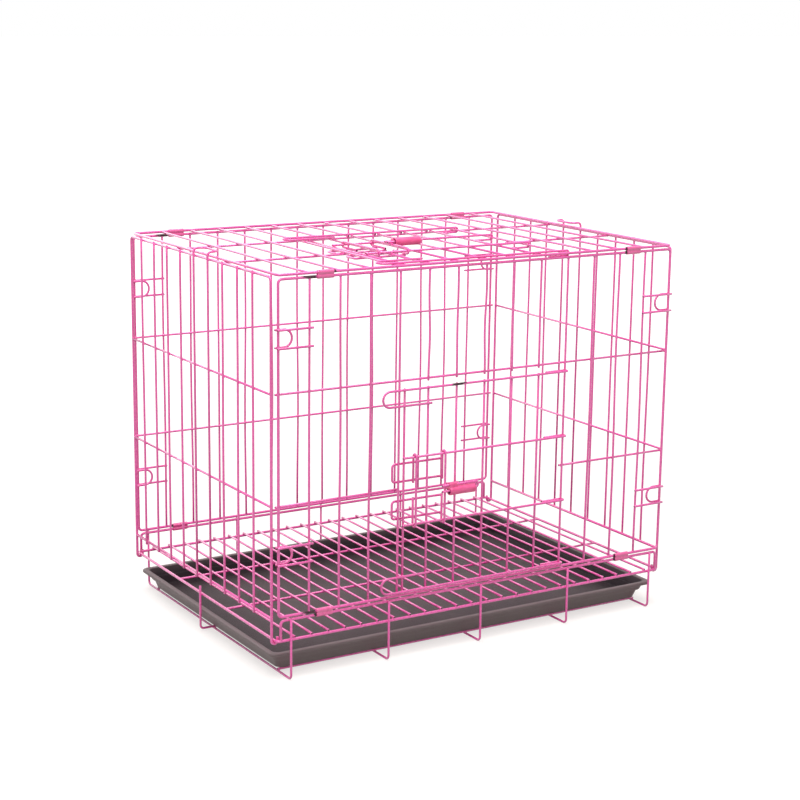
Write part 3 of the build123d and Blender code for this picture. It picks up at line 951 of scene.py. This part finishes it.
def clipSleeve(centre, y, lowZ):
    # the outline carried along X at the outer radius, drawn in at both ends, and back at the inner radius
    length = clip["length"]
    inner = frameR + crate["runningGap"]
    along, drawn = softEnds(length, clip["edge"], clip["pull"], [length / 2])
    along = np.r_[along, length, 0]
    radii = np.r_[inner + clip["wall"] - drawn, inner, inner]
    outline = np.stack([clipOutline(radius) for radius in radii])
    x = np.broadcast_to((centre - length / 2 + along)[:, None, None], outline.shape[:2] + (1,))
    verts = np.concatenate([x, outline + [y, lowZ + crate["pivotGap"] / 2]], -1)
    return verts.reshape(-1, 3), gridQuads(len(along), outline.shape[1], rowsClosed=True), []


def addClips(name, body, nodeName, y, lowZ):
    sleeves = [clipSleeve(-clipX, y, lowZ), clipSleeve(clipX, y, lowZ)]
    addPiece(name, body, sleeves, [clipCoat], [nodeName])


addClips("frontRailClips", "base", "front_rail_clips", -halfDepth, railZ)
addClips("backRailClips", "base", "back_rail_clips", halfDepth, railZ)
addClips("roofFrontClips", "roof", "roof_front_clips", -halfDepth, panelTopZ)
addClips("roofBackClips", "roof", "roof_back_clips", halfDepth, panelTopZ)
print("clips made")


# rubbed stretches of bare steel beside the clips and on the front door's top wire

worn = {
    "long": 20.0, "short": 4.0,
    "tuck": 0.3,  # how far a stretch starts inside its clip
    "lift": (-0.05, 0.06, 0.06, 0.05, -0.05), "ragged": (0.16, 0.1, 0.06),
    "doorStart": -53.0, "doorLength": 23.0,
}
longRub = worn["long"]
shortRub = worn["short"]


def wornCoat(start, length, y, z, wire=frameR, columns=18):
    # bare steel showing through: a sleeve a hair over the wire, its far edge ragged by three sines
    a = around(columns)
    slow, middle, quick = worn["ragged"]
    ragged = 1 + slow * np.sin(2 * a + start) + middle * np.sin(5 * a + 2 * start) + quick * np.sin(9 * a)
    rows = len(worn["lift"])
    along = np.linspace(0, 1, rows)[:, None] * length * ragged
    radius = wire + np.array(worn["lift"])[:, None]
    verts = np.stack([start + along, y + radius * np.cos(a), z + radius * np.sin(a)], -1)
    turn = 1 if length > 0 else -1  # a stretch that runs to the left has its faces turned
    caps = [cap[::turn] for cap in endCaps(rows, columns)]
    return verts.reshape(-1, 3), gridQuads(rows, columns)[:, ::turn], caps


def addWorn(name, body, y, z, left, right):
    # stretches beside the left and the right clip of one wire; a minus length runs to the left
    edge = clip["length"] / 2 - worn["tuck"]
    spots = [(-clipX, left), (clipX, right)]
    sleeves = [wornCoat(x + math.copysign(edge, length), length, y, z) for x, length in spots]
    addPiece(name, body, sleeves, [bareSteel])


addWorn("frontTopWorn", "front_panel", -halfDepth, panelTopZ, -longRub, -shortRub)
addWorn("roofFrontWorn", "roof", -halfDepth, roofZ, shortRub, -shortRub)
addWorn("frontFootWorn", "front_panel", -halfDepth, pivotZ, -longRub, -shortRub)
addWorn("frontRailWorn", "base", -halfDepth, railZ, -shortRub, -shortRub)
addWorn("backTopWorn", "back_panel", halfDepth, panelTopZ, -longRub, -shortRub)
addWorn("backFootWorn", "back_panel", halfDepth, pivotZ, -shortRub, shortRub)
doorScuff = wornCoat(worn["doorStart"], worn["doorLength"], crossPlane, levels[-1], barR)
addPiece("frontDoorWorn", "front_door", [placed(doorScuff, toFront)], [bareSteel])
print("rubbed stretches made")


# tray: one profile carried round a rounded rectangle

tray = {
    "endGap": 0.8, "bearing": 3.0, "corner": 9.0, "wall": 2.2, "lowHeight": 12.0, "step": 2.0,
    "height": 25.0, "flare": 0.36, "rim": 5.0, "lip": 4.0, "seatGap": 0.3,
    "rimRound": 1.6, "floorRise": 0.45,
}
traySpread = tray["flare"] * tray["height"] + tray["step"] + tray["rim"]
trayLength = 2 * (stopX - barR - tray["endGap"] - traySpread)
trayDepth = 2 * (groundY + tray["bearing"])
trayZ = 4 * barR + tray["seatGap"]


def roundedOutline(outset, cornerSteps=10, edgeSteps=14):
    # quarter circles joined by straight sides; outset moves every side out, at one corner radius
    outset = np.asarray(outset, float)[:, None]
    radius = tray["corner"]
    x0 = trayLength / 2 - radius + outset
    y0 = trayDepth / 2 - radius + outset
    quarters = []
    for k, (signX, signY) in enumerate(((1, -1), (1, 1), (-1, 1), (-1, -1))):
        t = (k - 1) * np.pi / 2 + np.linspace(0, np.pi / 2, cornerSteps)
        quarters.append(np.stack([signX * x0 + radius * np.cos(t), signY * y0 + radius * np.sin(t)], -1))
    s = np.linspace(0, 1, edgeSteps + 2)[1:-1][None, :, None]
    parts = []
    for quarter, following in zip(quarters, quarters[1:] + quarters[:1]):
        end = quarter[:, -1:]
        parts += [quarter, end + (following[:, :1] - end) * s]
    return np.concatenate(parts, 1)


def traySurface():
    # profile as (outset, rise): under the floor, up the outer wall and its step, out under the rim,
    # over the rolled rim, and down the inner wall to the floor, carried round the rounded rectangle
    w = tray["wall"]
    low = tray["lowHeight"]
    high = tray["height"]
    ledge = low + w  # inner height of the step
    lip = high - tray["lip"]
    floor = w + tray["floorRise"]
    s1 = tray["flare"] * low  # outsets: step's foot, step's head, wall's head, rim's edge
    s2 = s1 + tray["step"]
    s3 = s2 + tray["flare"] * (high - low)
    s4 = s3 + tray["rim"]
    t = np.linspace(0, np.pi / 2, 6)
    roll = tray["rimRound"] * np.stack([np.cos(t) - 1, np.sin(t) - 1], 1) + [s4, high]
    outside = [
        (-18, 0.35), (-15, 0), (-1.6, 0), (-0.5, 0.2), (0.35, 1.0),
        (s1 - 0.9, low - 1.3), (s1 - 0.2, low - 0.35), (s1 + 0.5, low),
        (s2 - 0.7, low), (s2 - 0.1, low + 0.25), (s2 + 0.4, low + 1.0),
        (s3 - 1.2, high - w - 1.5), (s3 - 0.3, high - w - 0.4), (s3 + 0.7, high - w),
        (s4 - w, high - w - 0.1), (s4 - w, lip), (s4 - 0.5, lip), (s4, lip + 0.5)]
    top = [(s3 + 0.6, high), (s3 - w + 0.4, high - 0.25), (s3 - w - 0.5, high - 1.2)]
    inside = [
        (s2 - w + 0.5, ledge + 0.8), (s2 - w - 0.1, ledge + 0.15), (s2 - w - 0.8, ledge),
        (s1 - w + 0.3, ledge - 0.1), (s1 - w - 0.5, ledge - 0.9),
        (-w + 1.1, w + 1.9), (-w + 0.2, w + 0.6), (-w - 1.2, w), (-15, w), (-18, w + 0.35),
        (-19.5, floor), (-45, floor), (-80, floor), (-125, floor)]
    profile = np.concatenate([outside, roll, top, inside])
    # painted light and shade: painted light below zero on the outer walls and rim, painted shade above zero
    # on the inner walls, fading out over the floor
    rollShade = [-0.7, -0.65, -0.6, -0.6, -0.6, -0.6]
    topShade = [-0.6, -0.35, 0.5]
    insideShade = [1, 1, 1, 1, 1, 1, 1, 0.9, 0.75, 0.7, 0.65, 0.4, 0.15, 0]
    shade = np.concatenate([np.full(len(outside), -0.85), rollShade, topShade, insideShade])
    xy = roundedOutline(profile[:, 0])
    rows, columns = xy.shape[:2]
    z = np.broadcast_to(profile[:, 1, None, None] + trayZ, (rows, columns, 1))
    verts = np.concatenate([xy, z], -1)
    return verts.reshape(-1, 3), gridQuads(rows, columns), endCaps(rows, columns), np.repeat(shade, columns)


addPiece("tray", "tray", [traySurface()], [trayPlastic], ["tray"])
print("tray made")


# floor, light and camera

stage = {
    "floorColour": (0.36, 0.345, 0.335, 1), "floorGlow": (1.0, 0.975, 0.96, 1), "floorHalf": 30,
    "glowReach": (0.6, 2.6), "glow": (0.68, 1.15),
    "worldLight": 0.36,
}
# lamps: place, aim and width in metres, power in watts
lamps = {
    "keyLamp": {"at": (-0.3, -0.4, 2.5), "aim": (0, 0, 0.2), "size": 2.4, "power": 70.0},
    "fillLamp": {"at": (-1.6, -1.8, 1.3), "aim": (0, 0, 0.25), "size": 1.2, "power": 9.0},
    "backLamp": {"at": (-0.4, 2.3, 1.25), "aim": (0, 0, 0.25), "size": 2.0, "power": 17.0},
}


def seenRays(tree):
    # one for rays that reach the camera directly, by a mirror or through glass,
    # zero for the light on the object
    paths = node(tree, "ShaderNodeLightPath").outputs
    glossy = mathNode(tree, "MAXIMUM", paths["Is Camera Ray"], paths["Is Glossy Ray"])
    return mathNode(tree, "MAXIMUM", glossy, paths["Is Transmission Ray"])


def floorMaterial():
    # pale floor that glows to white with distance, for the eye alone
    material, tree, inputs, place = newMaterial("floorPale", {
        "Base Color": stage["floorColour"], "Roughness": 0.8, "Emission Color": stage["floorGlow"]})
    reach = node(tree, "ShaderNodeVectorMath", operation="LENGTH")
    tree.links.new(place, reach.inputs[0])
    glow = spread(tree, reach.outputs["Value"], *stage["glowReach"], *stage["glow"])
    tree.links.new(mathNode(tree, "MULTIPLY", seenRays(tree), glow), inputs["Emission Strength"])
    return material


def addFloor():
    half = stage["floorHalf"]
    mesh = bpy.data.meshes.new("floor")
    corners = [(-half, -half, 0), (half, -half, 0), (half, half, 0), (-half, half, 0)]
    mesh.from_pydata(corners, [], [(0, 1, 2, 3)])
    mesh.materials.append(floorMaterial())
    floorPlane = bpy.data.objects.new("floor", mesh)
    bpy.context.scene.collection.objects.link(floorPlane)


def addWorld():
    world = bpy.data.worlds.new("studio")
    world.use_nodes = True
    bpy.context.scene.world = world
    tree = world.node_tree
    backdrop = tree.nodes["Background"].inputs
    backdrop["Color"].default_value = (1, 1, 1, 1)
    tree.links.new(spread(tree, seenRays(tree), 0, 1, stage["worldLight"], 1), backdrop["Strength"])


def softLamp(name, at, aim, size, power):
    data = bpy.data.lights.new(name, "AREA")
    data.shape = "DISK"
    data.size = size
    data.energy = power
    lamp = bpy.data.objects.new(name, data)
    bpy.context.scene.collection.objects.link(lamp)
    lamp.location = at
    lamp.visible_camera = False
    lamp.rotation_euler = (Vector(aim) - Vector(at)).to_track_quat("-Z", "Y").to_euler()


addFloor()
addWorld()
for name, lamp in lamps.items():
    softLamp(name, **lamp)

# camera fitted to the crate's corners: millimetres from the middle of the crate on the ground, and degrees
shot = {
    "place": (-1269.8, -2065.5, 820.6), "azimuth": 31.67, "elevation": 12.54, "roll": 0.76,
    "focal": 1815.9, "pixels": 800.0, "sensor": 36.0, "clipEnd": 100.0,
}


def addCamera():
    data = bpy.data.cameras.new("camera")
    data.sensor_width = shot["sensor"]
    data.lens = shot["sensor"] * shot["focal"] / shot["pixels"]
    data.clip_end = shot["clipEnd"]
    camera = bpy.data.objects.new("camera", data)
    bpy.context.scene.collection.objects.link(camera)
    camera.location = (Vector(shot["place"]) + Vector((0, shiftY, 0))) * mm
    azimuth = math.radians(shot["azimuth"])
    elevation = math.radians(shot["elevation"])
    level = math.cos(elevation)
    ahead = Vector((math.sin(azimuth) * level, math.cos(azimuth) * level, -math.sin(elevation)))
    roll = Matrix.Rotation(math.radians(shot["roll"]), 3, "Z")
    camera.rotation_euler = (ahead.to_track_quat("-Z", "Y").to_matrix() @ roll).to_euler()
    bpy.context.scene.camera = camera


addCamera()
bpy.context.scene.view_settings.view_transform = "Standard"

print("scene ready")
